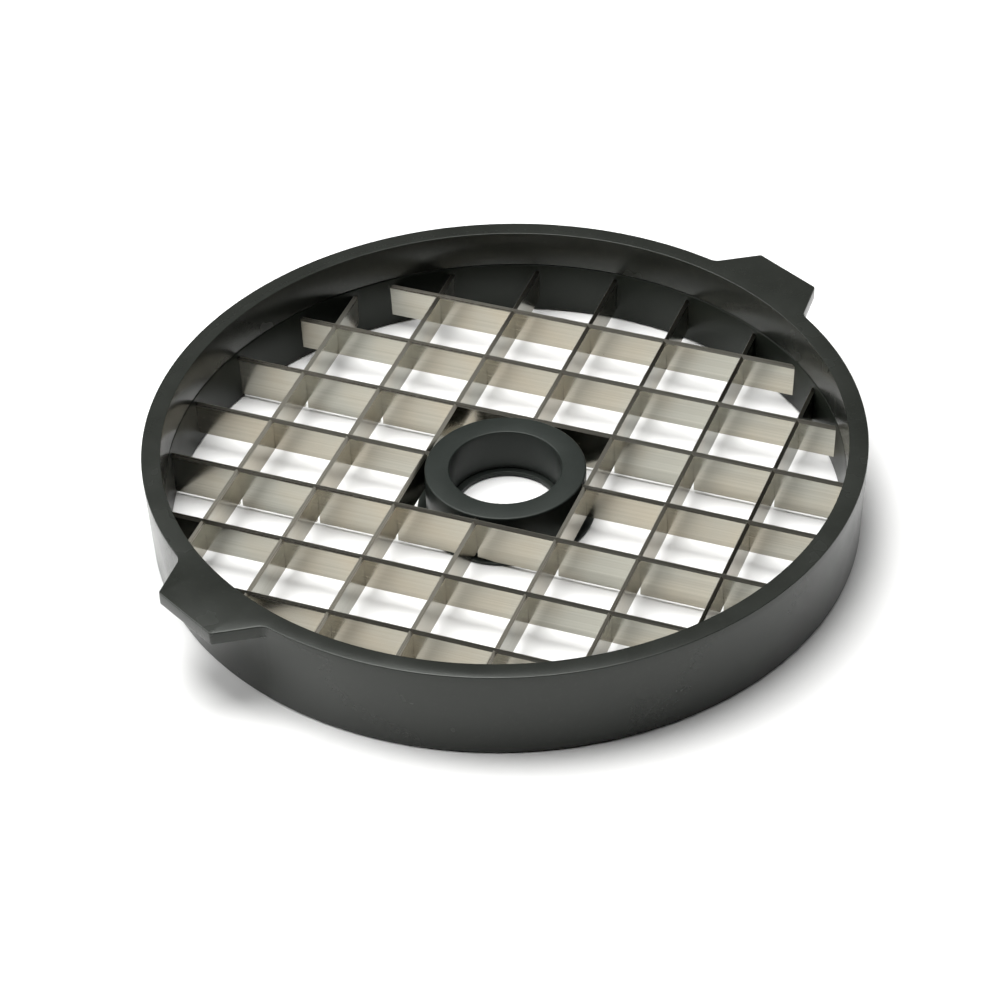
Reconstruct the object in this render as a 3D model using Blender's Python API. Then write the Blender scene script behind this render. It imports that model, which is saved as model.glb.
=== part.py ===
"""Dicing grid for a food processor, in metres, +Z up.

A round moulded frame with two lugs holds a seat ring, and the seat ring holds two crossing sets of
steel knives. The centre knives stop at a hub, whose bore lets the drive shaft through. The origin is
at the centre of the frame, on the plane that it stands on. One set of knives runs along X, the other
along Y, and the cutting edges face up.
"""

import itertools
import math

import bmesh
import bpy
from mathutils import Matrix, Vector

# Frame: the outer ring and its lugs. Its walls lean out a little towards the top.
FRAME_OUTER_R = 0.1082
FRAME_FOOT_R = 0.1070
FRAME_INNER_R = 0.1024
FRAME_HEIGHT = 0.0296
FRAME_TOP_OUTER_ROUND = 0.0011
FRAME_TOP_INNER_ROUND = 0.0008
FRAME_FOOT_ROUND = 0.0006
SEAM_ROUND = 0.00025

# Seat ring: it carries the knife ends and sits in a pocket in the frame's lower half.
SEAT_OUTER_R = 0.1043
SEAT_TOP_INNER_R = 0.1020
SEAT_FOOT_INNER_R = 0.1016
SEAT_TOP_Z = 0.0174

# Knives: the cells are square, and the knife thickness comes on top of them in the pitch.
CELL = 0.0245
KNIFE_THICKNESS = 0.0010
PITCH = CELL + KNIFE_THICKNESS
KNIVES_EACH_SIDE = 3
KNIFE_TOP_Z = 0.0152
KNIFE_BOTTOM_Z = 0.0039
DEEP_KNIFE_BOTTOM_Z = 0.0011
KNIFE_END_R = SEAT_FOOT_INNER_R + 0.0017
KNIFE_GRIND_WIDTH = 0.0009
KNIFE_GRIND_HEIGHT = 0.0010
LAP_Z = (KNIFE_TOP_Z + KNIFE_BOTTOM_Z) / 2

# Hub: a collar around the shaft, closed below by a base ring with a thin flange.
COLLAR_OUTER_R = 0.0244
COLLAR_BORE_R = 0.0170
COLLAR_TOP_Z = 0.0159
COLLAR_TOP_ROUND = 0.0009
COLLAR_GRIP = 0.0032
BASE_BORE_R = 0.0152
BASE_FLANGE_R = 0.0271
BASE_FLANGE_THICKNESS = 0.0008
BASE_TOP_Z = 0.0016
BASE_ROUND = 0.0003

# Lugs: two flat wings at opposite sides, flush with the top of the frame.
LUG_ANGLE = math.radians(61.7)
LUG_FACE_R = 0.1195
LUG_FACE_HALF_WIDTH = 0.0120
LUG_ROOT_HALF_ANGLE = math.radians(10.5)
LUG_THICKNESS = 0.0043
LUG_ROOT_FILLET = 0.0040
LUG_CORNER_ROUND = 0.0012
LUG_EDGE_ROUND = 0.0006
LUG_OVERLAP = 0.0030

GAP = 0.0003
NOTCH_GAP = 0.0001
RING_STEPS = 120
HUB_STEPS = 64
ROUND_STEPS = 2
POCKET_DEPTH = 0.006
NEAR = 1e-7
CHAMFER_BELOW = 0.0005
SHARP_ANGLE = math.radians(32)


def clear_scene():
    for leftover in list(bpy.data.objects):
        bpy.data.objects.remove(leftover, do_unlink=True)


def make_material(name, colour, roughness, metallic):
    made = bpy.data.materials.new(name)
    made.use_nodes = True
    shader = made.node_tree.nodes["Principled BSDF"]
    shader.inputs["Base Color"].default_value = (*colour, 1.0)
    shader.inputs["Roughness"].default_value = roughness
    shader.inputs["Metallic"].default_value = metallic
    made.diffuse_color = (*colour, 1.0)
    return made


def add_object(name, shape, material):
    """Turns a bmesh into a named object in the scene."""
    bmesh.ops.recalc_face_normals(shape, faces=shape.faces)
    mesh = bpy.data.meshes.new(name)
    shape.to_mesh(mesh)
    shape.free()
    made = bpy.data.objects.new(name, mesh)
    if material is not None:
        mesh.materials.append(material)
    bpy.context.scene.collection.objects.link(made)
    return made


def shade_round(made):
    made.data.shade_smooth()
    made.data.set_sharp_from_angle(angle=SHARP_ANGLE)


def rounded(corners):
    """A closed outline from (x, y, radius) corners: a large radius makes an arc, a small one a chamfer."""
    outline = []
    for index, (x, y, radius) in enumerate(corners):
        here = Vector((x, y))
        if radius == 0:
            outline.append(here)
            continue
        before = (Vector(corners[index - 1][:2]) - here).normalized()
        after = (Vector(corners[(index + 1) % len(corners)][:2]) - here).normalized()
        half = before.angle(after) / 2
        centre = here + (before + after).normalized() * radius / math.sin(half)
        start = here + before * radius / math.tan(half) - centre
        end = here + after * radius / math.tan(half) - centre
        outline += arc(centre, start, end, 1 if radius < CHAMFER_BELOW else ROUND_STEPS)
    return outline


def arc(centre, start, end, steps):
    """Points from centre + start to centre + end, the short way round."""
    first = math.atan2(start.y, start.x)
    sweep = math.remainder(math.atan2(end.y, end.x) - first, math.tau)
    radius = start.length
    turns = [first + sweep * step / steps for step in range(steps + 1)]
    return [centre + radius * Vector((math.cos(turn), math.sin(turn))) for turn in turns]


def turned(name, outline, steps, material):
    """A ring: the closed (radius, z) outline turned once round Z."""
    shape = bmesh.new()
    loops = []
    for step in range(steps):
        turn = math.tau * step / steps
        cos, sin = math.cos(turn), math.sin(turn)
        loops.append([shape.verts.new((r * cos, r * sin, z)) for r, z in outline])
    for this, following in zip(loops, loops[1:] + loops[:1]):
        for low in range(len(outline)):
            high = (low + 1) % len(outline)
            shape.faces.new((this[low], following[low], following[high], this[high]))
    return add_object(name, shape, material)


def block(shape, lowest, highest):
    """Adds a closed block between two corners to a bmesh."""
    xs, ys, zs = zip(lowest, highest)
    plan = zip(xs + xs[::-1], (ys[0], ys[0], ys[1], ys[1]))
    corners = [shape.verts.new((x, y, z)) for z, (x, y) in itertools.product(zs, list(plan))]
    for low in range(4):
        high = (low + 1) % 4
        shape.faces.new((corners[low], corners[high], corners[high + 4], corners[low + 4]))
    shape.faces.new(corners[:4])
    shape.faces.new(corners[4:])


def boolean(target, tool, operation):
    """Joins or cuts with a helper, which stays in the file as a hidden wire object."""
    tool.hide_render = True
    tool.display_type = "WIRE"
    step = target.modifiers.new(f"{operation.lower()}_{tool.name}", "BOOLEAN")
    step.operation = operation
    step.solver = "EXACT"
    step.object = tool
    return step


def knife_reach(offset):
    """How far a knife at this distance from the centre runs out along its own line."""
    return math.sqrt(KNIFE_END_R**2 - offset**2)


def knife_plan():
    """(label, offset, start, end, bottom) of each knife of the set along X, then of the set along Y."""
    plans = []
    for axis in ("x", "y"):
        for place in range(-KNIVES_EACH_SIDE, KNIVES_EACH_SIDE + 1):
            offset = place * PITCH
            reach = knife_reach(offset)
            number = place + KNIVES_EACH_SIDE + 1
            deep = axis == "x" and abs(place) == 1
            bottom = DEEP_KNIFE_BOTTOM_Z if deep else KNIFE_BOTTOM_Z
            if place == 0:
                inner = COLLAR_OUTER_R - COLLAR_GRIP
                plans.append((axis, f"{number}_low_half", offset, -reach, -inner, bottom))
                plans.append((axis, f"{number}_high_half", offset, inner, reach, bottom))
            else:
                plans.append((axis, str(number), offset, -reach, reach, bottom))
    return plans


def knife_crossings(offset, start, end):
    """Where the other set's knives cross this one."""
    places = [place * PITCH for place in range(-KNIVES_EACH_SIDE, KNIVES_EACH_SIDE + 1)]
    inside = [place for place in places if start < place < end]
    return [place for place in inside if math.hypot(place, offset) < SEAT_FOOT_INNER_R]


def knife_outline(start, end, bottom, crossings, notched_from_top):
    """(along, z) points of a knife's side view, with a half-lap notch at each crossing."""
    lower = [(start, bottom)]
    upper = [(start, KNIFE_TOP_Z)]
    half = KNIFE_THICKNESS / 2 + NOTCH_GAP
    for place in crossings:
        left, right = place - half, place + half
        if notched_from_top:
            floor = LAP_Z - NOTCH_GAP / 2
            upper += [(left, KNIFE_TOP_Z), (left, floor), (right, floor), (right, KNIFE_TOP_Z)]
        else:
            roof = LAP_Z + NOTCH_GAP / 2
            lower += [(left, bottom), (left, roof), (right, roof), (right, bottom)]
    return lower + [(end, bottom), (end, KNIFE_TOP_Z)] + upper[::-1]


def make_knife(axis, label, offset, start, end, bottom, steel):
    crossings = knife_crossings(offset, start, end)
    outline = knife_outline(start, end, bottom, crossings, notched_from_top=axis == "y")
    shape = bmesh.new()
    side = -KNIFE_THICKNESS / 2
    face = shape.faces.new([shape.verts.new((along, side, z)) for along, z in outline])
    moved = bmesh.ops.extrude_face_region(shape, geom=[face])["geom"]
    far = [item for item in moved if isinstance(item, bmesh.types.BMVert)]
    bmesh.ops.translate(shape, verts=far, vec=(0, KNIFE_THICKNESS, 0))
    hone(shape)
    knife = add_object(f"knife_{axis}_{label}", shape, steel)
    if axis == "x":
        knife.location = (0, offset, 0)
    else:
        knife.location = (offset, 0, 0)
        knife.rotation_euler = (0, 0, math.pi / 2)
    return knife


def hone(shape):
    """Grinds one face of the strip down to a thin land, which is the cutting edge."""
    level = (0, 0, KNIFE_TOP_Z - KNIFE_GRIND_HEIGHT)
    geometry = [*shape.verts, *shape.edges, *shape.faces]
    bmesh.ops.bisect_plane(shape, geom=geometry, plane_co=level, plane_no=(0, 0, 1), dist=NEAR)
    for vertex in shape.verts:
        if vertex.co.z > KNIFE_TOP_Z - NEAR and vertex.co.y < 0:
            vertex.co.y += KNIFE_GRIND_WIDTH


def make_seat_ring(plastic):
    outline = rounded(
        [
            (SEAT_OUTER_R, 0, 0),
            (SEAT_OUTER_R, SEAT_TOP_Z, 0),
            (SEAT_TOP_INNER_R, SEAT_TOP_Z, SEAM_ROUND),
            (SEAT_FOOT_INNER_R, 0, FRAME_FOOT_ROUND),
        ]
    )
    seat = turned("blade_seat_ring", outline, RING_STEPS, plastic)
    shade_round(seat)
    boolean(seat, knife_end_pockets(), "DIFFERENCE")
    return seat


def knife_end_pockets():
    """One block round each knife end that reaches the seat ring."""
    shape = bmesh.new()
    half = KNIFE_THICKNESS / 2 + GAP
    for axis, _, offset, start, end, bottom in knife_plan():
        for tip in (start, end):
            if abs(tip) < COLLAR_OUTER_R:
                continue
            outward = math.copysign(1, tip)
            along = sorted((tip - outward * POCKET_DEPTH, tip + outward * GAP))
            across = (offset - half, offset + half)
            xs, ys = (along, across) if axis == "x" else (across, along)
            block(shape, (xs[0], ys[0], bottom - GAP), (xs[1], ys[1], KNIFE_TOP_Z + GAP))
    return add_object("knife_end_pockets", shape, None)


def make_frame(plastic):
    pocket = SEAT_OUTER_R + GAP
    ledge = SEAT_TOP_Z + GAP
    outline = rounded(
        [
            (FRAME_FOOT_R, 0, FRAME_FOOT_ROUND),
            (FRAME_OUTER_R, FRAME_HEIGHT, FRAME_TOP_OUTER_ROUND),
            (FRAME_INNER_R, FRAME_HEIGHT, FRAME_TOP_INNER_ROUND),
            (SEAT_TOP_INNER_R, ledge, SEAM_ROUND),
            (pocket, ledge, 0),
            (pocket, 0, 0),
        ]
    )
    frame = turned("ring_frame", outline, RING_STEPS, plastic)
    for number, angle in enumerate((LUG_ANGLE, LUG_ANGLE + math.pi), start=1):
        boolean(frame, make_lug(f"lug_{number}", angle), "UNION")
    shade_round(frame)
    return frame


def lug_outline():
    """The lug in plan, pointing along +X: a short outer face, two slanted sides and filleted roots."""
    root = Vector((FRAME_OUTER_R, 0))
    root.rotate(Matrix.Rotation(LUG_ROOT_HALF_ANGLE, 2))
    tip = Vector((LUG_FACE_R, LUG_FACE_HALF_WIDTH))
    along = (root - tip).normalized()
    outward = Vector((-along.y, along.x))
    outward *= math.copysign(1, outward.y)
    reach = FRAME_OUTER_R + LUG_ROOT_FILLET
    base = tip + outward * LUG_ROOT_FILLET
    run = -base.dot(along) - math.sqrt(base.dot(along) ** 2 - base.length_squared + reach**2)
    centre = base + along * run
    on_side = -outward * LUG_ROOT_FILLET
    on_ring = -centre.normalized() * LUG_ROOT_FILLET
    upper = arc(centre, on_ring, on_side, ROUND_STEPS + 1)
    before = -along
    after = Vector((0, -1))
    half = (-before).angle(after) / 2
    inset = LUG_CORNER_ROUND / math.tan(half)
    middle = tip + (-before + after).normalized() * LUG_CORNER_ROUND / math.sin(half)
    upper += arc(middle, tip - before * inset - middle, tip + after * inset - middle, ROUND_STEPS)
    buried = FRAME_OUTER_R - LUG_OVERLAP
    upper.insert(0, upper[0] * (buried / upper[0].length))
    return upper + [Vector((point.x, -point.y)) for point in upper[::-1]]


def make_lug(name, angle):
    shape = bmesh.new()
    low = FRAME_HEIGHT - LUG_THICKNESS
    face = shape.faces.new([shape.verts.new((x, y, low)) for x, y in lug_outline()])
    moved = bmesh.ops.extrude_face_region(shape, geom=[face])["geom"]
    tops = [item for item in moved if isinstance(item, bmesh.types.BMVert)]
    bmesh.ops.translate(shape, verts=tops, vec=(0, 0, LUG_THICKNESS))
    buried = FRAME_OUTER_R - LUG_OVERLAP / 2
    rims = [
        edge
        for edge in shape.edges
        if abs(edge.verts[0].co.z - edge.verts[1].co.z) < NEAR
        and all(vert.co.xy.length > buried for vert in edge.verts)
    ]
    bmesh.ops.bevel(shape, geom=rims, offset=LUG_EDGE_ROUND, segments=2, profile=0.5, affect="EDGES")
    lug = add_object(name, shape, None)
    lug.rotation_euler = (0, 0, angle)
    return lug


def make_collar(plastic):
    outline = rounded(
        [
            (COLLAR_OUTER_R, BASE_TOP_Z + GAP, 0),
            (COLLAR_OUTER_R, COLLAR_TOP_Z, COLLAR_TOP_ROUND),
            (COLLAR_BORE_R, COLLAR_TOP_Z, COLLAR_TOP_ROUND),
            (COLLAR_BORE_R, BASE_TOP_Z + GAP, SEAM_ROUND),
        ]
    )
    collar = turned("hub_collar", outline, HUB_STEPS, plastic)
    shade_round(collar)
    boolean(collar, collar_slots(), "DIFFERENCE")
    return collar


def collar_slots():
    """Four slots, open below, that take the inner ends of the centre knives."""
    shape = bmesh.new()
    half = KNIFE_THICKNESS / 2 + GAP
    inner = COLLAR_OUTER_R - COLLAR_GRIP - GAP
    outer = COLLAR_OUTER_R + COLLAR_GRIP
    top = KNIFE_TOP_Z + GAP
    for low, high in ((inner, outer), (-outer, -inner)):
        block(shape, (low, -half, 0), (high, half, top))
        block(shape, (-half, low, 0), (half, high, top))
    return add_object("collar_slots", shape, None)


def make_hub_base(plastic):
    outline = rounded(
        [
            (BASE_FLANGE_R, 0, 0),
            (BASE_FLANGE_R, BASE_FLANGE_THICKNESS, BASE_ROUND),
            (COLLAR_OUTER_R, BASE_FLANGE_THICKNESS, 0),
            (COLLAR_OUTER_R, BASE_TOP_Z, 0),
            (BASE_BORE_R, BASE_TOP_Z, BASE_ROUND),
            (BASE_BORE_R, 0, BASE_ROUND),
        ]
    )
    base = turned("hub_base_ring", outline, HUB_STEPS, plastic)
    shade_round(base)
    return base


def main():
    clear_scene()
    frame_plastic = make_material("frame_plastic", (0.050, 0.054, 0.049), 0.42, 0.0)
    seat_plastic = make_material("seat_plastic", (0.040, 0.044, 0.040), 0.45, 0.0)
    hub_plastic = make_material("hub_plastic", (0.046, 0.050, 0.046), 0.40, 0.0)
    steel = make_material("knife_steel", (0.72, 0.70, 0.66), 0.16, 1.0)
    make_frame(frame_plastic)
    make_seat_ring(seat_plastic)
    make_collar(hub_plastic)
    make_hub_base(hub_plastic)
    for plan in knife_plan():
        make_knife(*plan, steel)


main()
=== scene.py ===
"""The dicing grid's looks: moulded ring with lugs, seat ring, hub and two crossing sets of steel knives."""

from __future__ import annotations

import logging
import math
from dataclasses import dataclass
from enum import Enum

import bmesh
import bpy
from mathutils import Matrix, Vector


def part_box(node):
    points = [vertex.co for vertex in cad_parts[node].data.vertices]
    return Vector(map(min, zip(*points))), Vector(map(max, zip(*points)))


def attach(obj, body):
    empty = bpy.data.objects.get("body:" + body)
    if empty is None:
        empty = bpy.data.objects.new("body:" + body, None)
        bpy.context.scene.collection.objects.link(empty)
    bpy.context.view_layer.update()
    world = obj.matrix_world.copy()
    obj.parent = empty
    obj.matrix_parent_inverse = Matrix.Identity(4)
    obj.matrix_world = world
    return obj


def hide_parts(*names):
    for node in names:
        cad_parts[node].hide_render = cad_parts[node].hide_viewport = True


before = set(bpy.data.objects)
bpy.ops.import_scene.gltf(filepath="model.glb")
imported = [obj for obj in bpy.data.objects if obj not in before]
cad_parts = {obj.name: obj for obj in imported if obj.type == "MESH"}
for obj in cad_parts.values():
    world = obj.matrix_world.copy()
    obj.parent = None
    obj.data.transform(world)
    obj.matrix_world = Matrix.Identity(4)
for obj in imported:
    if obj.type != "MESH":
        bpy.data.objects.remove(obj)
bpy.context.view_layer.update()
LOG = logging.getLogger("dicing_grid")
BODY = "root"
MM = 0.001
CUT_TOLERANCE = 1e-7
NEAR = 1e-6


class Axis(Enum):
    """The line that a set of knives runs along."""

    X = "x"
    Y = "y"


class Slot(Enum):
    """The record's material slots."""

    FRAME = "frame_plastic"
    SEAT = "seat_plastic"
    HUB = "hub_plastic"
    STEEL = "knife_steel"


# ---------------------------------------------------------------- shapes


def arc(centre: Vector, start: Vector, end: Vector, steps: int) -> list[Vector]:
    """Points on a circle, the short way round.

    Args:
        centre: the circle's centre in the outline's plane.
        start: from the centre to the first point.
        end: from the centre to the last point.
        steps: how many chords.

    Returns:
        steps + 1 points from centre + start to centre + end.
    """
    first = math.atan2(start.y, start.x)
    sweep = math.remainder(math.atan2(end.y, end.x) - first, math.tau)
    turns = [first + sweep * step / steps for step in range(steps + 1)]
    return [centre + start.length * Vector((math.cos(turn), math.sin(turn))) for turn in turns]


def rounded(corners: list[tuple[float, float, float]], steps: int) -> list[Vector]:
    """A closed outline whose corners are arcs.

    Args:
        corners: (x, y, radius) of each corner in order; radius 0 leaves it sharp.
        steps: how many chords an arc has.

    Returns:
        The outline's points, in order.
    """
    outline: list[Vector] = []
    for index, (x, y, radius) in enumerate(corners):
        here = Vector((x, y))
        if radius == 0:
            outline.append(here)
            continue
        before = (Vector(corners[index - 1][:2]) - here).normalized()
        after = (Vector(corners[(index + 1) % len(corners)][:2]) - here).normalized()
        half = before.angle(after) / 2
        reach = radius / math.tan(half)
        centre = here + (before + after).normalized() * radius / math.sin(half)
        outline += arc(centre, here + before * reach - centre, here + after * reach - centre, steps)
    return outline


def smoothstep(value: float) -> float:
    """0 below 0, 1 above 1, and a smooth climb between."""
    clamped = min(max(value, 0.0), 1.0)
    return clamped * clamped * (3 - 2 * clamped)


def inner_radius(node: str) -> float:
    """The smallest distance of a CAD node's surface from the Z axis."""
    return min(vertex.co.xy.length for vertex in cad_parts[node].data.vertices)


def outer_radius(node: str) -> float:
    """Half of a CAD node's width along X, which is its radius where it is round."""
    low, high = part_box(node)
    return (high.x - low.x) / 2


@dataclass
class Piece:
    """One visible piece: it turns a bmesh into an object that stands for CAD nodes."""

    name: str
    slot: Slot
    nodes: tuple[str, ...]

    def make(self, shape: bmesh.types.BMesh, material: bpy.types.Material) -> bpy.types.Object:
        """Makes the object.

        Args:
            shape: the finished mesh, which is freed.
            material: the piece's only material.

        Returns:
            The object, linked to the scene.
        """
        bmesh.ops.recalc_face_normals(shape, faces=shape.faces)
        mesh = bpy.data.meshes.new(self.name)
        shape.to_mesh(mesh)
        shape.free()
        mesh.materials.append(material)
        made = bpy.data.objects.new(self.name, mesh)
        bpy.context.scene.collection.objects.link(made)
        return made

    def declare(self, made: bpy.types.Object) -> None:
        """Ties the finished object to the frame.

        Args:
            made: the piece's object.
        """
        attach(made, BODY)
        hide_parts(*self.nodes)
        LOG.info("%s: %d faces", made.name, len(made.data.polygons))


def shade(made: bpy.types.Object, angle: float = 35.0) -> None:
    """Shades an object smooth, with edges sharper than the angle in degrees kept."""
    made.data.shade_smooth()
    made.data.set_sharp_from_angle(angle=math.radians(angle))


def loops_to_shell(shape: bmesh.types.BMesh, loops: list[list[bmesh.types.BMVert]]) -> None:
    """Joins closed loops of vertices, each to the next and the last to the first, with four-sided faces.

    Args:
        shape: the mesh that takes the faces.
        loops: loops of the same number of vertices.
    """
    for this, following in zip(loops, loops[1:] + loops[:1]):
        for low in range(len(this)):
            high = (low + 1) % len(this)
            shape.faces.new((this[low], following[low], following[high], this[high]))


def turned(outline: list[Vector], steps: int) -> bmesh.types.BMesh:
    """A ring made by turning a closed (radius, z) outline round Z.

    Args:
        outline: the section's points.
        steps: how many columns the ring has.

    Returns:
        The closed mesh.
    """
    shape = bmesh.new()
    loops = []
    for step in range(steps):
        turn = math.tau * step / steps
        cos, sin = math.cos(turn), math.sin(turn)
        loops.append([shape.verts.new((point.x * cos, point.x * sin, point.y)) for point in outline])
    loops_to_shell(shape, loops)
    return shape


def add_block(shape: bmesh.types.BMesh, low: Vector, high: Vector) -> None:
    """Adds a closed block to a mesh.

    Args:
        shape: the mesh.
        low: the block's lowest corner.
        high: its highest corner.
    """
    size = high - low
    place = Matrix.Translation((low + high) / 2) @ Matrix.Diagonal((*size, 1.0))
    bmesh.ops.create_cube(shape, size=1.0, matrix=place)


def cut(made: bpy.types.Object, cutters: bmesh.types.BMesh) -> None:
    """Cuts closed blocks out of an object's mesh.

    Args:
        made: the object to cut, whose mesh is replaced.
        cutters: the blocks, which are freed.
    """
    mesh = bpy.data.meshes.new("cutters")
    cutters.to_mesh(mesh)
    cutters.free()
    tool = bpy.data.objects.new("cutters", mesh)
    bpy.context.scene.collection.objects.link(tool)
    step = made.modifiers.new("pockets", "BOOLEAN")
    step.operation = "DIFFERENCE"
    step.solver = "EXACT"
    step.object = tool
    bpy.context.view_layer.update()
    result = bpy.data.meshes.new_from_object(made.evaluated_get(bpy.context.evaluated_depsgraph_get()))
    made.modifiers.clear()
    old, made.data = made.data, result
    result.name = old.name
    bpy.data.meshes.remove(old)
    bpy.data.objects.remove(tool)
    bpy.data.meshes.remove(mesh)


# ---------------------------------------------------------------- finishes


@dataclass
class NodeGraph:
    """A material's node tree with short ways to add nodes and links."""

    material: bpy.types.Material

    @classmethod
    def new(cls, name: str) -> NodeGraph:
        """A fresh material with its Principled shader and output.

        Args:
            name: the material's name.

        Returns:
            Its graph.
        """
        material = bpy.data.materials.new(name)
        material.use_nodes = True
        return cls(material)

    @property
    def shader(self) -> bpy.types.Node:
        """The Principled shader."""
        return self.material.node_tree.nodes["Principled BSDF"]

    def set(self, **values: object) -> None:
        """Sets shader sockets that are the same all over.

        Args:
            values: socket name to value; an underscore stands for a space.
        """
        for name, value in values.items():
            self.shader.inputs[name.replace("_", " ")].default_value = value

    def add(self, kind: str, inputs: dict[str, object] | None = None, **settings: object) -> bpy.types.Node:
        """Adds a node.

        Args:
            kind: the node's class without ShaderNode.
            inputs: socket name to a value, or to an output socket that is linked.
            settings: the node's own properties.

        Returns:
            The node.
        """
        node = self.material.node_tree.nodes.new("ShaderNode" + kind)
        for name, value in settings.items():
            setattr(node, name, value)
        for name, value in (inputs or {}).items():
            self.feed(node.inputs[int(name)] if name.isdigit() else node.inputs[name], value)
        return node

    def feed(self, socket: bpy.types.NodeSocket, value: object) -> None:
        """Links an output to a socket, or sets the socket's value.

        Args:
            socket: the input.
            value: an output socket, or a plain value.
        """
        if isinstance(value, bpy.types.NodeSocket):
            self.material.node_tree.links.new(value, socket)
        else:
            socket.default_value = value

    def place(self, scale: tuple[float, float, float]) -> bpy.types.NodeSocket:
        """The object's own coordinates in metres, times a scale for each axis."""
        coordinates = self.add("TexCoord").outputs["Object"]
        return self.add("Mapping", {"Vector": coordinates, "Scale": scale}).outputs["Vector"]

    def noise(self, where: bpy.types.NodeSocket, scale: float, detail: float,
              roughness: float = 0.5) -> bpy.types.NodeSocket:
        """A noise value from 0 to 1.

        Args:
            where: the coordinates.
            scale: how many features per unit.
            detail: octaves.
            roughness: how strong the fine octaves are.

        Returns:
            The value socket.
        """
        inputs = {"Vector": where, "Scale": scale, "Detail": detail, "Roughness": roughness}
        return self.add("TexNoise", inputs).outputs["Fac"]

    def ramp(self, value: bpy.types.NodeSocket, low: tuple[float, float], high: tuple[float, float]
             ) -> bpy.types.NodeSocket:
        """Maps a value between two pairs, clamped.

        Args:
            value: the value.
            low: a value and what it becomes.
            high: another value and what it becomes.

        Returns:
            The mapped value's socket.
        """
        inputs = {"Value": value, "From Min": low[0], "From Max": high[0]}
        inputs |= {"To Min": low[1], "To Max": high[1]}
        return self.add("MapRange", inputs).outputs["Result"]

    def mix(self, factor: object, first: object, second: object) -> bpy.types.NodeSocket:
        """Mixes two colours.

        Args:
            factor: 0 for the first, 1 for the second.
            first: a colour or its socket.
            second: a colour or its socket.

        Returns:
            The colour socket.
        """
        node = self.add("Mix", data_type="RGBA")
        self.feed(node.inputs[0], factor)
        self.feed(node.inputs[6], first)
        self.feed(node.inputs[7], second)
        return node.outputs[2]

    def maths(self, operation: str, first: object, second: object) -> bpy.types.NodeSocket:
        """A Math node's result."""
        return self.add("Math", {"0": first, "1": second}, operation=operation).outputs["Value"]

    def bump(self, height: bpy.types.NodeSocket, strength: float, distance: float,
             normal: bpy.types.NodeSocket | None = None) -> bpy.types.NodeSocket:
        """A bumped normal.

        Args:
            height: the height, 0 to 1.
            strength: how much of the bump shows.
            distance: the full height in metres.
            normal: the normal underneath, where there is one.

        Returns:
            The normal's socket.
        """
        inputs: dict[str, object] = {"Height": height, "Strength": strength, "Distance": distance}
        if normal is not None:
            inputs["Normal"] = normal
        return self.add("Bump", inputs).outputs["Normal"]


def tone(colour: tuple[float, float, float], factor: float) -> tuple[float, float, float, float]:
    """A colour made lighter or darker, with full alpha."""
    return (colour[0] * factor, colour[1] * factor, colour[2] * factor, 1.0)


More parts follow.
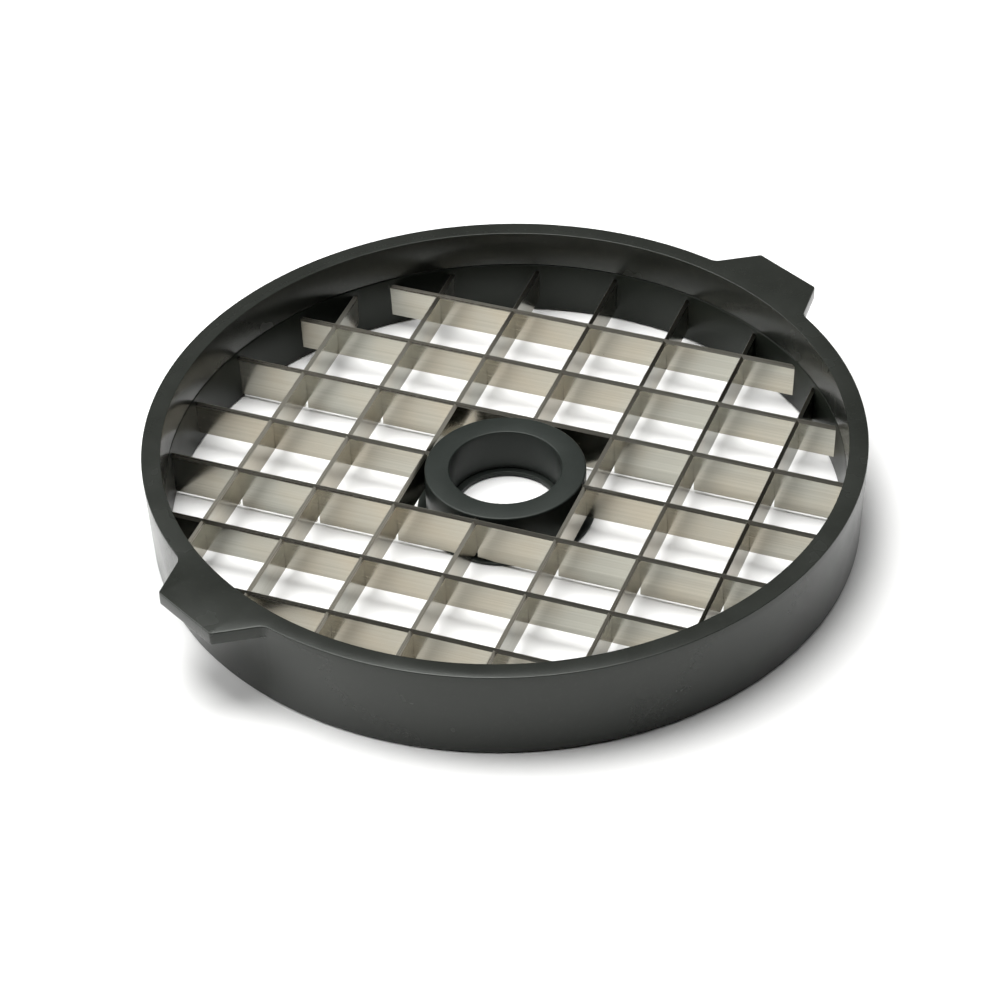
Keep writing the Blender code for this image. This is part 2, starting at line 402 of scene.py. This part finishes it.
@dataclass(frozen=True)
class MouldedPlastic:
    """Dark glass-filled plastic: fine moulded grain, faint flow marks, and edges polished by handling and
    lightened, partly as wear and partly as a painted edge highlight.
    """

    name: str
    colour: tuple[float, float, float]
    roughness: float
    gloss: float
    gloss_tint: tuple[float, float, float] = (0.96, 1.0, 0.95)
    grain_size: float = 0.35 * MM
    grain_depth: float = 0.006 * MM
    grain_strength: float = 0.5
    speckle_size: float = 1.4 * MM
    speckle_tone: float = 1.5
    speckle_share: float = 0.35
    flow_size: float = 22 * MM
    flow_tones: tuple[float, float] = (0.9, 1.12)
    flow_roughness: tuple[float, float] = (-0.05, 0.06)
    swell_size: float = 5.5 * MM
    swell_depth: float = 0.03 * MM
    swell_strength: float = 0.25
    wear_and_highlight_width: float = 0.5 * MM
    # Lighter edge colour: partly wear, partly a painted highlight along the edges.
    wear_and_highlight_tone: float = 1.8
    wear_polish: float = -0.05
    wear_and_highlight_share: tuple[float, float] = (0.08, 0.4)

    def material(self) -> bpy.types.Material:
        """Builds the material."""
        graph = NodeGraph.new(self.name)
        graph.set(IOR=1.5, Specular_IOR_Level=self.gloss, Specular_Tint=(*self.gloss_tint, 1.0))
        where = graph.place((1.0, 1.0, 1.0))
        flow = graph.noise(where, 1 / self.flow_size, 3.0, 0.55)
        grain = graph.noise(where, 1 / self.grain_size, 3.0, 0.6)
        speckle = graph.noise(where, 1 / self.speckle_size, 2.0, 0.6)
        worn_and_highlit = self.edge_wear_and_highlight(graph, speckle)
        body = self.body(graph, flow, speckle)
        # Edges are lightened: partly wear, partly a painted highlight along every edge.
        colour = graph.mix(worn_and_highlit, body, tone(self.colour, self.wear_and_highlight_tone))
        graph.feed(graph.shader.inputs["Base Color"], colour)
        smoothest, dullest = (self.roughness + change for change in self.flow_roughness)
        dull = graph.ramp(flow, (0.25, smoothest), (0.75, dullest))
        polish = graph.maths("MULTIPLY", worn_and_highlit, self.wear_polish)
        graph.feed(graph.shader.inputs["Roughness"], graph.maths("ADD", dull, polish))
        swell = graph.noise(where, 1 / self.swell_size, 1.0)
        swollen = graph.bump(swell, self.swell_strength, self.swell_depth)
        grained = graph.bump(grain, self.grain_strength, self.grain_depth, swollen)
        graph.feed(graph.shader.inputs["Normal"], grained)
        return graph.material

    def body(self, graph: NodeGraph, flow: bpy.types.NodeSocket, speckle: bpy.types.NodeSocket
             ) -> bpy.types.NodeSocket:
        """The colour away from the edges, which are lightened by wear and by a painted highlight.

        Args:
            graph: the material's nodes.
            flow: the broad flow marks, 0 to 1.
            speckle: the small lighter specks, 0 to 1.

        Returns:
            The colour socket.
        """
        dark, light = (tone(self.colour, factor) for factor in self.flow_tones)
        marked = graph.mix(graph.ramp(flow, (0.3, 0.0), (0.7, 1.0)), dark, light)
        specks = graph.ramp(speckle, (0.55, 0.0), (0.8, self.speckle_share))
        return graph.mix(specks, marked, tone(self.colour, self.speckle_tone))

    def edge_wear_and_highlight(self, graph: NodeGraph, speckle: bpy.types.NodeSocket) -> bpy.types.NodeSocket:
        """How strongly the edges are lightened and polished: partly wear, partly a painted edge highlight.

        Args:
            graph: the material's nodes.
            speckle: a noise that breaks up the wear and the painted highlight, 0 to 1.

        Returns:
            0 on open faces, more along edges.
        """
        softened = graph.add("Bevel", {"Radius": self.wear_and_highlight_width}, samples=4).outputs["Normal"]
        true = graph.add("NewGeometry").outputs["Normal"]
        dot = graph.add("VectorMath", {"0": softened, "1": true}, operation="DOT_PRODUCT").outputs["Value"]
        edge = graph.ramp(dot, (0.995, 0.0), (0.90, 1.0))
        least, most = self.wear_and_highlight_share
        return graph.maths("MULTIPLY", edge, graph.ramp(speckle, (0.35, least), (0.65, most)))


@dataclass(frozen=True)
class RolledSteel:
    """Bright rolled strip: long fine grain, slow waves that bend reflections, a duller ground edge."""

    name: str
    warm: tuple[float, float, float]
    cool: tuple[float, float, float]
    roughness: float
    ground_above: float
    ground_blend: float = 0.03 * MM
    ground_roughness: float = 0.28
    ground_tones: tuple[float, float] = (0.80, 1.0)
    grain_per_metre: tuple[float, float, float] = (9.0, 60.0, 1400.0)
    grain_tones: tuple[float, float] = (0.82, 1.06)
    grain_roughness: tuple[float, float] = (-0.05, 0.07)
    grain_depth: float = 0.008 * MM
    grain_strength: float = 0.25
    scratches_per_metre: tuple[float, float, float] = (300.0, 60.0, 2600.0)
    scratch_roughness: float = 0.12
    scratch_depth: float = 0.006 * MM
    scratch_strength: float = 0.12
    waves_per_metre: tuple[float, float, float] = (30.0, 30.0, 60.0)
    wave_depth: float = 0.10 * MM
    wave_strength: float = 0.6
    drifts_per_metre: float = 38.0

    def material(self) -> bpy.types.Material:
        """Builds the material."""
        graph = NodeGraph.new(self.name)
        graph.set(Metallic=1.0)
        grain = graph.noise(graph.place(self.grain_per_metre), 1.0, 4.0, 0.65)
        scratches = graph.noise(graph.place(self.scratches_per_metre), 1.0, 2.0, 0.7)
        where = graph.place((1.0, 1.0, 1.0))
        ground = self.ground(graph, where)
        drift = graph.noise(where, self.drifts_per_metre, 2.0, 0.5)
        rolled, honed = self.rolled_colour(graph, grain, drift), self.ground_colour(graph, grain)
        graph.feed(graph.shader.inputs["Base Color"], graph.mix(ground, rolled, honed))
        smoothest, dullest = (self.roughness + change for change in self.grain_roughness)
        rough = graph.ramp(grain, (0.25, smoothest), (0.75, dullest))
        marks = graph.ramp(scratches, (0.62, 0.0), (0.78, self.scratch_roughness))
        scored = graph.maths("ADD", rough, marks)
        dull = graph.maths("MULTIPLY", ground, self.ground_roughness - self.roughness)
        graph.feed(graph.shader.inputs["Roughness"], graph.maths("ADD", scored, dull))
        waves = graph.noise(graph.place(self.waves_per_metre), 1.0, 1.0)
        bent = graph.bump(waves, self.wave_strength, self.wave_depth)
        grained = graph.bump(grain, self.grain_strength, self.grain_depth, bent)
        marked = graph.bump(scratches, self.scratch_strength, self.scratch_depth, grained)
        graph.feed(graph.shader.inputs["Normal"], marked)
        return graph.material

    def rolled_colour(self, graph: NodeGraph, grain: bpy.types.NodeSocket, drift: bpy.types.NodeSocket
                      ) -> bpy.types.NodeSocket:
        """The colour of the rolled faces.

        Args:
            graph: the material's nodes.
            grain: the lengthways grain, 0 to 1.
            drift: the slow change between the two steel colours, 0 to 1.

        Returns:
            The colour socket.
        """
        tint = graph.mix(graph.ramp(drift, (0.35, 0.0), (0.65, 1.0)), (*self.warm, 1.0), (*self.cool, 1.0))
        dark, light = self.grain_tones
        streak = graph.ramp(grain, (0.3, dark), (0.7, light))
        return graph.add("VectorMath", {"0": tint, "Scale": streak}, operation="SCALE").outputs["Vector"]

    def ground_colour(self, graph: NodeGraph, grain: bpy.types.NodeSocket) -> bpy.types.NodeSocket:
        """The colour of the ground strip, streaked along the grain.

        Args:
            graph: the material's nodes.
            grain: the lengthways grain, 0 to 1.

        Returns:
            The colour socket.
        """
        dark, light = self.ground_tones
        streak = graph.ramp(grain, (0.3, 0.0), (0.7, 1.0))
        return graph.mix(streak, tone(self.warm, dark), tone(self.cool, light))

    def ground(self, graph: NodeGraph, where: bpy.types.NodeSocket) -> bpy.types.NodeSocket:
        """Where the strip is ground.

        Args:
            graph: the material's nodes.
            where: the object's own coordinates in metres.

        Returns:
            1 on the ground strip along the top, 0 below it.
        """
        height = graph.add("SeparateXYZ", {"Vector": where}).outputs["Z"]
        below, above = self.ground_above - self.ground_blend, self.ground_above + self.ground_blend
        return graph.ramp(height, (below, 0.0), (above, 1.0))


# ---------------------------------------------------------------- the ring


@dataclass(frozen=True)
class Lug:
    """One flat wing on the ring's rim, in plan: a short outer face, slanted sides and filleted roots."""

    angle: float = math.radians(61.7)
    face_distance: float = 119.5 * MM
    face_half_width: float = 12.0 * MM
    root_half_angle: float = math.radians(10.5)
    thickness: float = 4.3 * MM
    corner_round: float = 1.2 * MM
    root_fillet: float = 4.0 * MM
    under_fillet: float = 1.2 * MM
    straight_steps: int = 6
    corner_steps: int = 6
    fillet_steps: int = 8

    def half_outline(self, ring_radius: float) -> list[tuple[Vector, Vector]]:
        """One half of the plan, for a lug along +X.

        Args:
            ring_radius: the outer radius of the ring it grows from.

        Returns:
            (point, outward normal) from the face's middle to the ring.
        """
        root = ring_radius * Vector((math.cos(self.root_half_angle), math.sin(self.root_half_angle)))
        tip = Vector((self.face_distance, self.face_half_width))
        side = (root - tip).normalized()
        outward = Vector((side.y, -side.x))
        steps = range(self.straight_steps)
        points = [(Vector((tip.x, tip.y * step / len(steps))), Vector((1.0, 0.0))) for step in steps]
        half = side.angle(Vector((0.0, -1.0))) / 2
        middle = tip + (side + Vector((0.0, -1.0))).normalized() * self.corner_round / math.sin(half)
        inset = self.corner_round / math.tan(half)
        corner = arc(middle, tip - Vector((0, inset)) - middle, tip + side * inset - middle,
                     self.corner_steps)
        points = [item for item in points if item[0].y < corner[0].y]
        points += [(point, (point - middle).normalized()) for point in corner]
        centre = self.fillet_centre(tip, side, outward, ring_radius)
        first = centre - outward * self.root_fillet
        points += [(corner[-1].lerp(first, step / len(steps)), outward) for step in steps[1:]]
        to_side, to_ring = -outward * self.root_fillet, -centre.normalized() * self.root_fillet
        hollow = arc(centre, to_side, to_ring, self.fillet_steps)
        points += [(point, (centre - point).normalized()) for point in hollow]
        return points

    def fillet_centre(self, tip: Vector, side: Vector, outward: Vector, ring_radius: float) -> Vector:
        """Where the root fillet's centre lies: a fillet's radius from the side and from the ring.

        Args:
            tip: the corner between the face and the side.
            side: the side's direction, towards the ring.
            outward: the side's outward normal.
            ring_radius: the outer radius of the ring.

        Returns:
            The centre.
        """
        base = tip + outward * self.root_fillet
        reach = ring_radius + self.root_fillet
        run = -base.dot(side) - math.sqrt(base.dot(side) ** 2 - base.length_squared + reach**2)
        return base + side * run

    def outline(self, ring_radius: float) -> list[tuple[Vector, Vector]]:
        """The whole plan at the lug's own angle.

        Args:
            ring_radius: the outer radius of the ring it grows from.

        Returns:
            (point, outward normal) in order of rising angle round the ring.
        """
        upper = self.half_outline(ring_radius)
        lower = [(Vector((p.x, -p.y)), Vector((n.x, -n.y))) for p, n in upper[:0:-1]]
        spin = Matrix.Rotation(self.angle, 2)
        return [(spin @ point, spin @ normal) for point, normal in lower + upper]


@dataclass
class RingFrame:
    """The moulded ring with its two lugs."""

    finish: bpy.types.Material
    top_outer_round: float = 0.3 * MM
    top_inner_round: float = 0.2 * MM
    lug_edge_round: float = 0.4 * MM
    foot_round: float = 0.6 * MM
    seam_round: float = 0.3 * MM
    outer_lean: float = 1.2 * MM
    inner_lean: float = 0.4 * MM
    seam_gap: float = 0.3 * MM
    lug_blend: float = 1.5 * MM
    rounds_in_reach: float = 2.5
    columns: int = 288
    column_margin: float = 0.4
    edge_steps: int = 5

    def __post_init__(self) -> None:
        """Reads the ring's sizes from the frame."""
        _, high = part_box("ring_frame")
        _, seat_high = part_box("blade_seat_ring")
        self.outer = outer_radius("ring_frame")
        self.height = high.z
        self.seam = inner_radius("ring_frame")
        self.pocket = outer_radius("blade_seat_ring") + self.seam_gap
        self.ledge = seat_high.z + self.seam_gap
        self.lugs = (Lug(), Lug(angle=Lug.angle + math.pi))

    def plan(self) -> list[tuple[Vector, Vector]]:
        """The outer edge of the top, lugs included.

        Returns:
            (point, outward normal) all round, in order of rising angle.
        """
        outlines = [lug.outline(self.outer) for lug in self.lugs]
        found = [item for outline in outlines for item in outline]
        spans = []
        for outline in outlines:
            angles = [math.atan2(point.y, point.x) for point, _ in outline]
            spans.append((angles[0] % math.tau, angles[-1] % math.tau))
        clear = self.column_margin * math.tau / self.columns
        for step in range(self.columns):
            turn = math.tau * step / self.columns
            if not any(start - clear < turn < end + clear for start, end in spans):
                radial = Vector((math.cos(turn), math.sin(turn)))
                found.append((radial * self.outer, radial))
        return sorted(found, key=lambda item: math.atan2(item[0].y, item[0].x) % math.tau)

    def column(self, point: Vector, normal: Vector) -> list[Vector]:
        """One section of the ring, through a point of the plan.

        Args:
            point: the plan's point, on the top's outer edge.
            normal: the plan's outward normal there.

        Returns:
            The section's points in space, from the inner foot over the top to the outer foot.
        """
        radial = point.normalized()
        inside = [Vector((*(radial * place.x), place.y)) for place in self.inner_side()]
        return inside + self.outer_side(point, normal, radial)

    def inner_side(self) -> list[Vector]:
        """The inner half of a section.

        Returns:
            (radius, z) from the pocket's foot up the inner wall to the top's inner edge.
        """
        top = self.seam + self.inner_lean
        seam = rounded([(self.pocket, self.ledge, 0), (self.seam, self.ledge, self.seam_round),
                        (top, self.height, self.top_inner_round), (self.pocket, self.height, 0)],
                       self.edge_steps)
        return [Vector((self.pocket, 0.0))] + seam[:-1]

    def outer_side(self, point: Vector, normal: Vector, radial: Vector) -> list[Vector]:
        """The outer half of a section: top edge, lug where there is one, wall and foot.

        Args:
            point: the plan's point.
            normal: the plan's outward normal there.
            radial: the direction from the Z axis to the point.

        Returns:
            The half's points in space, from the top down.
        """
        lug = self.lugs[0]
        proud = point.length - self.outer
        share = smoothstep(proud / self.lug_blend)
        under = self.height - lug.thickness
        top_round = self.top_outer_round + (self.lug_edge_round - self.top_outer_round) * share
        edge_round = min(self.lug_edge_round, proud / self.rounds_in_reach)
        fillet = min(lug.under_fillet, proud / self.rounds_in_reach)
        made = []
        quarter = [math.pi / 2 * step / self.edge_steps for step in range(self.edge_steps + 1)]
        for turn in quarter:
            flat = point - normal * top_round * (1 - math.sin(turn))
            made.append(Vector((*flat, self.height - top_round * (1 - math.cos(turn)))))
        lower = []
        for turn in quarter:
            flat = point - normal * edge_round * (1 - math.cos(turn))
            lower.append(Vector((*flat, under + edge_round * (1 - math.sin(turn)))))
        for turn in quarter:
            level = under - fillet * (1 - math.cos(turn))
            lower.append(self.on_wall(radial, level, fillet * (1 - math.sin(turn))))
        for index, place in enumerate(lower):
            level = under + lug.under_fillet * (1 - 2 * index / (len(lower) - 1))
            made.append(self.on_wall(radial, level).lerp(place, share))
        for turn in quarter:
            level = self.foot_round * (1 - math.sin(turn))
            made.append(self.on_wall(radial, level, self.foot_round * (math.cos(turn) - 1)))
        return made

    def on_wall(self, radial: Vector, level: float, proud: float = 0.0) -> Vector:
        """A point of the leaning outer wall, or the given distance out from it."""
        radius = self.outer - self.outer_lean * (1 - level / self.height)
        return Vector((*(radial * (radius + proud)), level))

    def build(self) -> None:
        """Makes the ring and hands it over."""
        shape = bmesh.new()
        loops = [[shape.verts.new(place) for place in self.column(*item)] for item in self.plan()]
        loops_to_shell(shape, loops)
        piece = Piece("moulded_ring", Slot.FRAME, ("ring_frame",))
        made = piece.make(shape, self.finish)
        shade(made)
        piece.declare(made)


@dataclass
class SeatRing:
    """The ring that the knife ends are moulded into."""

    finish: bpy.types.Material
    seam_round: float = 0.3 * MM
    foot_round: float = 0.6 * MM
    inner_lean: float = 0.4 * MM
    columns: int = 288
    edge_steps: int = 4
    pocket_gap: float = 0.06 * MM
    pocket_run: float = 6 * MM
    end_margin: float = 2 * MM

    def build(self, knives: list[Knife]) -> None:
        """Makes the ring, with a pocket for each knife end.

        Args:
            knives: every strip of the grid.
        """
        low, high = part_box("blade_seat_ring")
        inner, outer = inner_radius("blade_seat_ring"), outer_radius("blade_seat_ring")
        top_inner = inner + self.inner_lean
        outline = rounded([(outer, low.z, 0), (outer, high.z, 0),
                           (top_inner, high.z, self.seam_round), (inner, low.z, self.foot_round)],
                          self.edge_steps)
        piece = Piece("knife_seat_ring", Slot.SEAT, ("blade_seat_ring",))
        made = piece.make(turned(outline, self.columns), self.finish)
        cutters = bmesh.new()
        for knife in knives:
            for tip in knife.tips_beyond(inner - self.end_margin):
                knife.add_tip_block(cutters, tip, self.pocket_run, self.pocket_gap)
        cut(made, cutters)
        shade(made)
        piece.declare(made)


# ---------------------------------------------------------------- the hub


@dataclass
class Hub:
    """The collar around the shaft, and the flanged ring that closes it below."""

    finish: bpy.types.Material
    top_round: float = 0.5 * MM
    bore_round: float = 0.4 * MM
    joint_round: float = 0.2 * MM
    base_round: float = 0.3 * MM
    flange_foot_round: float = 0.15 * MM
    columns: int = 128
    collar_steps: int = 6
    base_steps: int = 4
    slot_gap: float = 0.06 * MM
    slot_run: float = 6 * MM
    slot_overshoot: float = 1 * MM

    def build(self, knives: list[Knife]) -> None:
        """Makes both pieces."""
        self.build_collar(knives)
        self.build_base()

    def build_collar(self, knives: list[Knife]) -> None:
        """Makes the collar, with a slot for the inner end of each centre knife.

        Args:
            knives: every strip of the grid.
        """
        low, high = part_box("hub_collar")
        outer, bore = outer_radius("hub_collar"), inner_radius("hub_collar")
        outline = rounded([(outer, low.z, self.joint_round), (outer, high.z, self.top_round),
                           (bore, high.z, self.bore_round), (bore, low.z, self.joint_round)],
                          self.collar_steps)
        piece = Piece("shaft_collar", Slot.HUB, ("hub_collar",))
        made = piece.make(turned(outline, self.columns), self.finish)
        cutters = bmesh.new()
        floor = low.z - self.slot_overshoot
        for knife in knives:
            for tip in knife.tips_within(outer):
                knife.add_tip_block(cutters, tip, self.slot_run, self.slot_gap, floor)
        cut(made, cutters)
        shade(made)
        piece.declare(made)

    def build_base(self) -> None:
        """Makes the flanged ring under the collar."""
        low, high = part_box("hub_base_ring")
        flange, bore = outer_radius("hub_base_ring"), inner_radius("hub_base_ring")
        neck = outer_radius("hub_collar")
        step = low.z + (high.z - low.z) / 2
        outline = rounded([(flange, low.z, self.flange_foot_round), (flange, step, self.base_round),
                           (neck, step, 0), (neck, high.z, self.joint_round),
                           (bore, high.z, self.base_round), (bore, low.z, self.base_round)],
                          self.base_steps)
        piece = Piece("hub_foot_ring", Slot.HUB, ("hub_base_ring",))
        made = piece.make(turned(outline, self.columns), self.finish)
        shade(made)
        piece.declare(made)


# ---------------------------------------------------------------- the knives


@dataclass
class Knife:
    """One upright strip, ground to an edge on one face, with half-lap notches at the crossings."""

    node: str
    axis: Axis
    grind_width: float = 0.9 * MM
    grind_height: float = 1.0 * MM
    notch_gap: float = 0.05 * MM
    deep_bottom: float = 2 * MM

    def __post_init__(self) -> None:
        """Reads the strip's place and size from the frame."""
        low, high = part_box(self.node)
        along, across = (0, 1) if self.axis is Axis.X else (1, 0)
        self.start, self.end = low[along], high[along]
        self.offset = (low[across] + high[across]) / 2
        self.thickness = high[across] - low[across]
        self.bottom, self.top = low.z, high.z

    def tips_beyond(self, radius: float) -> list[float]:
        """The ends of the strip that lie outside a radius."""
        return [tip for tip in (self.start, self.end) if math.hypot(tip, self.offset) > radius]

    def tips_within(self, radius: float) -> list[float]:
        """The ends of the strip that lie inside a radius."""
        return [tip for tip in (self.start, self.end) if math.hypot(tip, self.offset) < radius]

    def add_tip_block(self, shape: bmesh.types.BMesh, tip: float, depth: float, gap: float,
                      floor: float | None = None) -> None:
        """Adds the block that one end of the strip fills, grown by a gap.

        Args:
            shape: the mesh that takes the block.
            tip: the end's place along the strip.
            depth: how far the block runs back along the strip.
            gap: how much it is grown.
            floor: the block's underside, where not the strip's own.
        """
        back = math.copysign(depth, (self.start + self.end) / 2 - tip)
        beyond = tip - math.copysign(gap, back)
        along = sorted((beyond, tip + back))
        across = (self.offset - self.thickness / 2 - gap, self.offset + self.thickness / 2 + gap)
        xs, ys = (along, across) if self.axis is Axis.X else (across, along)
        base = self.bottom - gap if floor is None else floor
        add_block(shape, Vector((xs[0], ys[0], base)), Vector((xs[1], ys[1], self.top + gap)))

    def outline(self, crossings: list[Knife]) -> list[tuple[float, float]]:
        """The strip's side view.

        Args:
            crossings: the other set's strips.

        Returns:
            (along, z) points, in order.
        """
        lower, upper = [(self.start, self.bottom)], [(self.start, self.top)]
        places = sorted({round(other.offset, 6) for other in crossings if self.meets(other)})
        half = self.thickness / 2 + self.notch_gap
        shallow = [knife.bottom for knife in crossings + [self] if knife.bottom > self.deep_bottom]
        lap = (self.top + min(shallow)) / 2
        for place in places:
            left, right = place - half, place + half
            if self.axis is Axis.Y:
                floor = lap - self.notch_gap
                upper += [(left, self.top), (left, floor), (right, floor), (right, self.top)]
            else:
                roof = lap + self.notch_gap
                lower += [(left, self.bottom), (left, roof), (right, roof), (right, self.bottom)]
        return lower + [(self.end, self.bottom), (self.end, self.top)] + upper[::-1]

    def meets(self, other: Knife) -> bool:
        """Whether a strip of the other set crosses this one."""
        return self.start < other.offset < self.end and other.start < self.offset < other.end

    def build(self, crossings: list[Knife], finish: bpy.types.Material) -> None:
        """Makes the strip and hands it over.

        Args:
            crossings: the other set's strips.
            finish: the strip's material.
        """
        middle = (self.start + self.end) / 2
        shape = bmesh.new()
        side = -self.thickness / 2
        corners = [shape.verts.new((along - middle, side, z)) for along, z in self.outline(crossings)]
        moved = bmesh.ops.extrude_face_region(shape, geom=[shape.faces.new(corners)])["geom"]
        far = [item for item in moved if isinstance(item, bmesh.types.BMVert)]
        bmesh.ops.translate(shape, verts=far, vec=(0, self.thickness, 0))
        self.grind(shape)
        piece = Piece(self.node.replace("knife", "steel_knife"), Slot.STEEL, (self.node,))
        made = piece.make(shape, finish)
        if self.axis is Axis.X:
            made.location = (middle, self.offset, 0)
        else:
            made.location = (self.offset, middle, 0)
            made.rotation_euler = (0, 0, math.pi / 2)
        piece.declare(made)

    def grind(self, shape: bmesh.types.BMesh) -> None:
        """Grinds one face down to a thin land at the top.

        Args:
            shape: the strip's mesh, centred on its own length.
        """
        geometry = [*shape.verts, *shape.edges, *shape.faces]
        level = (0, 0, self.top - self.grind_height)
        bmesh.ops.bisect_plane(shape, geom=geometry, plane_co=level, plane_no=(0, 0, 1),
                               dist=CUT_TOLERANCE)
        for vertex in shape.verts:
            if vertex.co.z > self.top - NEAR and vertex.co.y < 0:
                vertex.co.y += self.grind_width


@dataclass
class KnifeGrid:
    """Both sets of knives."""

    finish: bpy.types.Material

    def __post_init__(self) -> None:
        """Finds the strips among the frame's nodes."""
        self.sets: dict[Axis, list[Knife]] = {}
        for axis in Axis:
            nodes = [node for node in sorted(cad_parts) if node.startswith(f"knife_{axis.value}")]
            self.sets[axis] = [Knife(node, axis) for node in nodes]

    @property
    def knives(self) -> list[Knife]:
        """Every strip of both sets."""
        return [knife for knives in self.sets.values() for knife in knives]

    def build(self) -> None:
        """Makes every strip."""
        for axis, other in ((Axis.X, Axis.Y), (Axis.Y, Axis.X)):
            for knife in self.sets[axis]:
                knife.build(self.sets[other], self.finish)


# ---------------------------------------------------------------- the studio


@dataclass(frozen=True)
class StudioCamera:
    """A long lens that looks down at the grid from its near right."""

    aim: tuple[float, float, float] = (0.0, -0.0052, 0.0071)
    distance: float = 0.9905
    azimuth: float = 21.63
    elevation: float = 39.634
    roll: float = -1.906
    lens: float = 118.37
    sensor_width: float = 36.0
    clip_start: float = 0.01

    def build(self) -> None:
        """Makes the camera and looks through it."""
        turn, lift, roll = (math.radians(value) for value in (self.azimuth, self.elevation, self.roll))
        ahead = Vector((-math.sin(turn) * math.cos(lift), math.cos(turn) * math.cos(lift), -math.sin(lift)))
        level = Vector((math.cos(turn), math.sin(turn), 0.0))
        upright = level.cross(ahead)
        right = level * math.cos(roll) + upright * math.sin(roll)
        top = -level * math.sin(roll) + upright * math.cos(roll)
        data = bpy.data.cameras.new("studio_camera")
        data.lens = self.lens
        data.sensor_width = self.sensor_width
        data.clip_start = self.clip_start
        made = bpy.data.objects.new("studio_camera", data)
        bpy.context.scene.collection.objects.link(made)
        place = Matrix((right, top, -ahead)).transposed().to_4x4()
        place.translation = Vector(self.aim) - ahead * self.distance
        made.matrix_world = place
        bpy.context.scene.camera = made


@dataclass(frozen=True)
class Softbox:
    """One large square light, aimed at the grid."""

    name: str
    place: tuple[float, float, float]
    size: float
    power: float

    def build(self) -> None:
        """Makes the light."""
        data = bpy.data.lights.new(self.name, "AREA")
        data.shape = "SQUARE"
        data.size = self.size
        data.energy = self.power
        made = bpy.data.objects.new(self.name, data)
        made.location = self.place
        made.rotation_euler = (-Vector(self.place)).to_track_quat("-Z", "Y").to_euler()
        bpy.context.scene.collection.objects.link(made)


@dataclass
class Studio:
    """Floor, lights, surroundings and camera."""

    floor_radius: float = 6.0
    floor_colour: tuple[float, float, float] = (0.86, 0.86, 0.85)
    floor_roughness: float = 0.8
    floor_gloss: float = 0.2
    floor_sides: int = 96
    floor_drop: float = 0.2 * MM
    room_front: float = 0.10
    room_back: float = 0.58
    fade_from: float = -0.5
    fade_to: float = 0.6
    lights: tuple[Softbox, ...] = (
        Softbox("overhead", place=(-0.25, 0.14, 1.5), size=1.15, power=42.0),
        Softbox("left", place=(-1.1, -0.3, 0.75), size=1.0, power=13.0),
        Softbox("low_right", place=(1.0, 0.95, 0.38), size=0.8, power=1.5),
    )

    def build(self) -> None:
        """Makes the studio."""
        self.build_floor()
        self.build_room()
        for light in self.lights:
            light.build()
        StudioCamera().build()
        bpy.context.scene.view_settings.view_transform = "Standard"

    def build_floor(self) -> None:
        """A plain round sheet under the grid."""
        graph = NodeGraph.new("studio_paper")
        graph.set(Base_Color=(*self.floor_colour, 1.0), Roughness=self.floor_roughness,
                  Specular_IOR_Level=self.floor_gloss)
        shape = bmesh.new()
        bmesh.ops.create_circle(shape, cap_ends=True, segments=self.floor_sides,
                                radius=self.floor_radius)
        mesh = bpy.data.meshes.new("studio_floor")
        shape.to_mesh(mesh)
        shape.free()
        mesh.materials.append(graph.material)
        made = bpy.data.objects.new("studio_floor", mesh)
        made.location = (0, 0, -self.floor_drop)
        bpy.context.scene.collection.objects.link(made)

    def build_room(self) -> None:
        """Plain grey surroundings that fade from dark in front of the grid to light behind it."""
        world = bpy.data.worlds.new("studio_room")
        bpy.context.scene.world = world
        world.use_nodes = True
        nodes, links = world.node_tree.nodes, world.node_tree.links
        direction = nodes.new("ShaderNodeTexCoord").outputs["Generated"]
        split = nodes.new("ShaderNodeSeparateXYZ")
        links.new(direction, split.inputs[0])
        depth = nodes.new("ShaderNodeMapRange")
        links.new(split.outputs["Y"], depth.inputs["Value"])
        settings = {"From Min": self.fade_from, "From Max": self.fade_to}
        settings |= {"To Min": self.room_front, "To Max": self.room_back}
        for name, value in settings.items():
            depth.inputs[name].default_value = value
        links.new(depth.outputs["Result"], nodes["Background"].inputs["Strength"])


def main() -> None:
    """Builds the grid and its studio."""
    logging.basicConfig(level=logging.INFO, format="%(name)s: %(message)s")
    _, knife_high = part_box("knife_x_1")
    ground_above = knife_high.z - Knife.grind_height
    steel = RolledSteel("rolled_steel", warm=(0.40, 0.365, 0.295), cool=(0.375, 0.37, 0.325),
                        roughness=0.17, ground_above=ground_above)
    ring_plastic = MouldedPlastic("ring_plastic", colour=(0.0175, 0.019, 0.0165), roughness=0.24, gloss=0.36)
    seat_plastic = MouldedPlastic("seat_plastic", colour=(0.0095, 0.0115, 0.009), roughness=0.36, gloss=0.2)
    hub_plastic = MouldedPlastic("hub_plastic", colour=(0.0145, 0.0175, 0.0155),
                                 roughness=0.38, gloss=0.25)
    grid = KnifeGrid(steel.material())
    RingFrame(ring_plastic.material()).build()
    SeatRing(seat_plastic.material()).build(grid.knives)
    Hub(hub_plastic.material()).build(grid.knives)
    grid.build()
    Studio().build()


if __name__ == "__main__":
    main()
